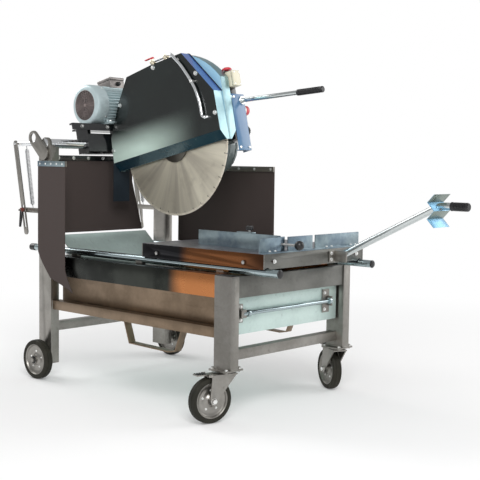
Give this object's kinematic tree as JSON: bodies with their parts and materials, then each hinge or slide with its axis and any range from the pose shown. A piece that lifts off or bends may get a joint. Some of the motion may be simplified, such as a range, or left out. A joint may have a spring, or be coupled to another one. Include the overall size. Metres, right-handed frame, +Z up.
{
  "type": "masonry saw",
  "caption": "Wheeled masonry saw: steel frame with water tray, rolling table with fences and push handle, and a tilting belt-driven blade head with guard, motor and rubber curtains.",
  "frame": {"origin": "bottom centre of the bounding box, on the floor under the wheels", "axes": "+Z up, +Y towards the rear (the pivot posts), -Y towards the operator and the push handle, +X to the operator's right"},
  "size_m": [1.078, 2.387, 1.6518],
  "materials": {
    "zinc": "bright zinc plate with a bluish sheen",
    "chrome": "bright plated bar",
    "steel": "bare brushed steel",
    "guard_green": "gloss dark green paint",
    "panel_blue": "blue-grey paint",
    "machine_grey": "silver-grey paint",
    "black_paint": "black paint",
    "black_plastic": "black plastic",
    "curtain_rubber": "brown-black sheet rubber",
    "wheel_tyre": "black rubber tyre on a zinc rim",
    "cream": "cream plastic",
    "red": "signal red"
  },
  "bodies": {
    "frame": {"front_leg_left": "zinc", "rear_post_left": "zinc", "lifting_eye_left": "zinc", "side_beam_left": "zinc", "lower_beam_left": "zinc", "table_rail_left": "chrome", "spring_left": "chrome", "front_leg_right": "zinc", "rear_post_right": "zinc", "lifting_eye_right": "zinc", "side_beam_right": "zinc", "lower_beam_right": "zinc", "table_rail_right": "chrome", "spring_right": "chrome", "front_beam": "zinc", "front_crossbar": "zinc", "rear_crossbar": "zinc", "water_tray": "zinc", "front_bar": "chrome", "rear_hanger": "zinc", "curtain_left": "curtain_rubber", "curtain_rear": "curtain_rubber", "curtain_right": "curtain_rubber"},
    "head": {"pivot_shaft": "chrome", "head_arm": "black_paint", "guard_left": "guard_green", "guard_right": "guard_green", "belt_guard": "machine_grey", "motor": "machine_grey", "front_panel": "panel_blue", "switch_box": "cream", "operating_lever": "chrome", "water_pipe": "steel", "rear_flap": "curtain_rubber"},
    "blade": {"blade": "steel", "blade_shaft": "steel"},
    "rotor": {"motor_rotor": "steel"},
    "stop_button": {"stop_button": "red"},
    "water_tap": {"water_tap": "red"},
    "side_knob": {"side_knob": "black_plastic"},
    "table": {"table": "zinc", "cross_fence": "zinc", "side_fence": "zinc", "push_handle": "zinc"},
    "rollers_front": {"rollers_front": "steel"},
    "rollers_rear": {"rollers_rear": "steel"},
    "clamp_screw": {"clamp_screw": "chrome"},
    "fence_knob": {"fence_knob": "black_plastic"},
    "depth_bar_left": {"depth_bar_left": "zinc"},
    "clamp_handle_left": {"clamp_handle_left": "black_plastic"},
    "rear_wheel_left": {"rear_wheel_left": "wheel_tyre"},
    "caster_left": {"caster_fork_left": "zinc"},
    "caster_wheel_left": {"caster_wheel_left": "wheel_tyre"},
    "brake_pedal_left": {"brake_pedal_left": "zinc"},
    "depth_bar_right": {"depth_bar_right": "zinc"},
    "clamp_handle_right": {"clamp_handle_right": "black_plastic"},
    "rear_wheel_right": {"rear_wheel_right": "wheel_tyre"},
    "caster_right": {"caster_fork_right": "zinc"},
    "caster_wheel_right": {"caster_wheel_right": "wheel_tyre"},
    "brake_pedal_right": {"brake_pedal_right": "zinc"}
  },
  "joints": [
    {"name": "head_pivot", "type": "hinge", "parent": "frame", "child": "head", "pos_m": [0.03574, 0.89851, 1.195], "axis": [1, 0, 0], "range_deg": [0, 15.5], "deforming": ["spring_left", "spring_right"]},
    {"name": "table_slide", "type": "slide", "parent": "frame", "child": "table", "axis": [0, 1, 0], "range_m": [-0.04, 0.6]},
    {"name": "rollers_front_spin", "type": "hinge", "parent": "table", "child": "rollers_front", "pos_m": [0.03574, -0.40548, 0.69], "axis": [1, 0, 0], "continuous": true},
    {"name": "rollers_rear_spin", "type": "hinge", "parent": "table", "child": "rollers_rear", "pos_m": [0.03574, 0.13851, 0.69], "axis": [1, 0, 0], "continuous": true},
    {"name": "blade_spin", "type": "hinge", "parent": "head", "child": "blade", "pos_m": [0.05074, 0.40456, 1.2031], "axis": [1, 0, 0], "continuous": true},
    {"name": "rotor_spin", "type": "hinge", "parent": "head", "child": "rotor", "pos_m": [0.19574, 0.91945, 1.40034], "axis": [1, 0, 0], "continuous": true},
    {"name": "stop_button_press", "type": "slide", "parent": "head", "child": "stop_button", "axis": [0, -0.2164, -0.9763], "range_m": [0, 0.005], "stiffness_N_per_m": 500, "springref_m": -0.003},
    {"name": "water_tap_turn", "type": "hinge", "parent": "head", "child": "water_tap", "pos_m": [0.01574, 0.53971, 1.62792], "axis": [0, 0.2164, 0.9763], "range_deg": [0, 90]},
    {"name": "side_knob_turn", "type": "hinge", "parent": "head", "child": "side_knob", "pos_m": [0.21374, 0.07282, 1.26743], "axis": [1, 0, 0], "continuous": true},
    {"name": "clamp_screw_turn", "type": "hinge", "parent": "table", "child": "clamp_screw", "pos_m": [-0.15426, -0.52548, 0.764], "axis": [0, 1, 0], "continuous": true},
    {"name": "fence_knob_turn", "type": "hinge", "parent": "table", "child": "fence_knob", "pos_m": [-0.15426, -0.29048, 0.82], "axis": [0, 0, 1], "continuous": true},
    {"name": "depth_bar_left_hinge", "type": "hinge", "parent": "head", "child": "depth_bar_left", "pos_m": [-0.36626, 1.17752, 1.195], "axis": [1, 0, 0], "range_deg": [-12.5, 0.2]},
    {"name": "clamp_handle_left_turn", "type": "hinge", "parent": "frame", "child": "clamp_handle_left", "pos_m": [-0.36626, 1.10752, 0.85], "axis": [1, 0, 0], "range_deg": [-45, 45]},
    {"name": "rear_wheel_left_spin", "type": "hinge", "parent": "frame", "child": "rear_wheel_left", "pos_m": [-0.43026, 0.89951, 0.1], "axis": [1, 0, 0], "continuous": true},
    {"name": "caster_left_swivel", "type": "hinge", "parent": "frame", "child": "caster_left", "pos_m": [-0.36026, -0.35048, 0.215], "axis": [0, 0, 1], "continuous": true},
    {"name": "caster_wheel_left_spin", "type": "hinge", "parent": "caster_left", "child": "caster_wheel_left", "pos_m": [-0.43798, -0.33154, 0.1], "axis": [0.2368, 0.9715, 0], "continuous": true},
    {"name": "brake_pedal_left_press", "type": "hinge", "parent": "caster_left", "child": "brake_pedal_left", "pos_m": [-0.4545, -0.32751, 0.2087], "axis": [0.2368, 0.9715, 0], "range_deg": [-14, 0]},
    {"name": "depth_bar_right_hinge", "type": "hinge", "parent": "head", "child": "depth_bar_right", "pos_m": [0.43774, 1.17752, 1.195], "axis": [1, 0, 0], "range_deg": [-12.5, 0.2]},
    {"name": "clamp_handle_right_turn", "type": "hinge", "parent": "frame", "child": "clamp_handle_right", "pos_m": [0.43774, 1.10752, 0.85], "axis": [1, 0, 0], "range_deg": [-45, 45]},
    {"name": "rear_wheel_right_spin", "type": "hinge", "parent": "frame", "child": "rear_wheel_right", "pos_m": [0.50174, 0.89951, 0.1], "axis": [1, 0, 0], "continuous": true},
    {"name": "caster_right_swivel", "type": "hinge", "parent": "frame", "child": "caster_right", "pos_m": [0.43174, -0.35048, 0.215], "axis": [0, 0, 1], "continuous": true},
    {"name": "caster_wheel_right_spin", "type": "hinge", "parent": "caster_right", "child": "caster_wheel_right", "pos_m": [0.46781, -0.27908, 0.1], "axis": [0.8926, -0.4509, 0], "continuous": true},
    {"name": "brake_pedal_right_press", "type": "hinge", "parent": "caster_right", "child": "brake_pedal_right", "pos_m": [0.47548, -0.2639, 0.2087], "axis": [0.8926, -0.4509, 0], "range_deg": [-14, 0]}
  ],
  "couplings": [
    {"joint": "rollers_front_spin", "follows": "table_slide", "rad_per_m": -48.309},
    {"joint": "rollers_rear_spin", "follows": "table_slide", "rad_per_m": -48.309},
    {"joint": "rotor_spin", "follows": "blade_spin", "ratio": 1.1429},
    {"joint": "depth_bar_left_hinge", "follows": "head_pivot", "ratio": -0.79},
    {"joint": "depth_bar_right_hinge", "follows": "head_pivot", "ratio": -0.79}
  ]
}
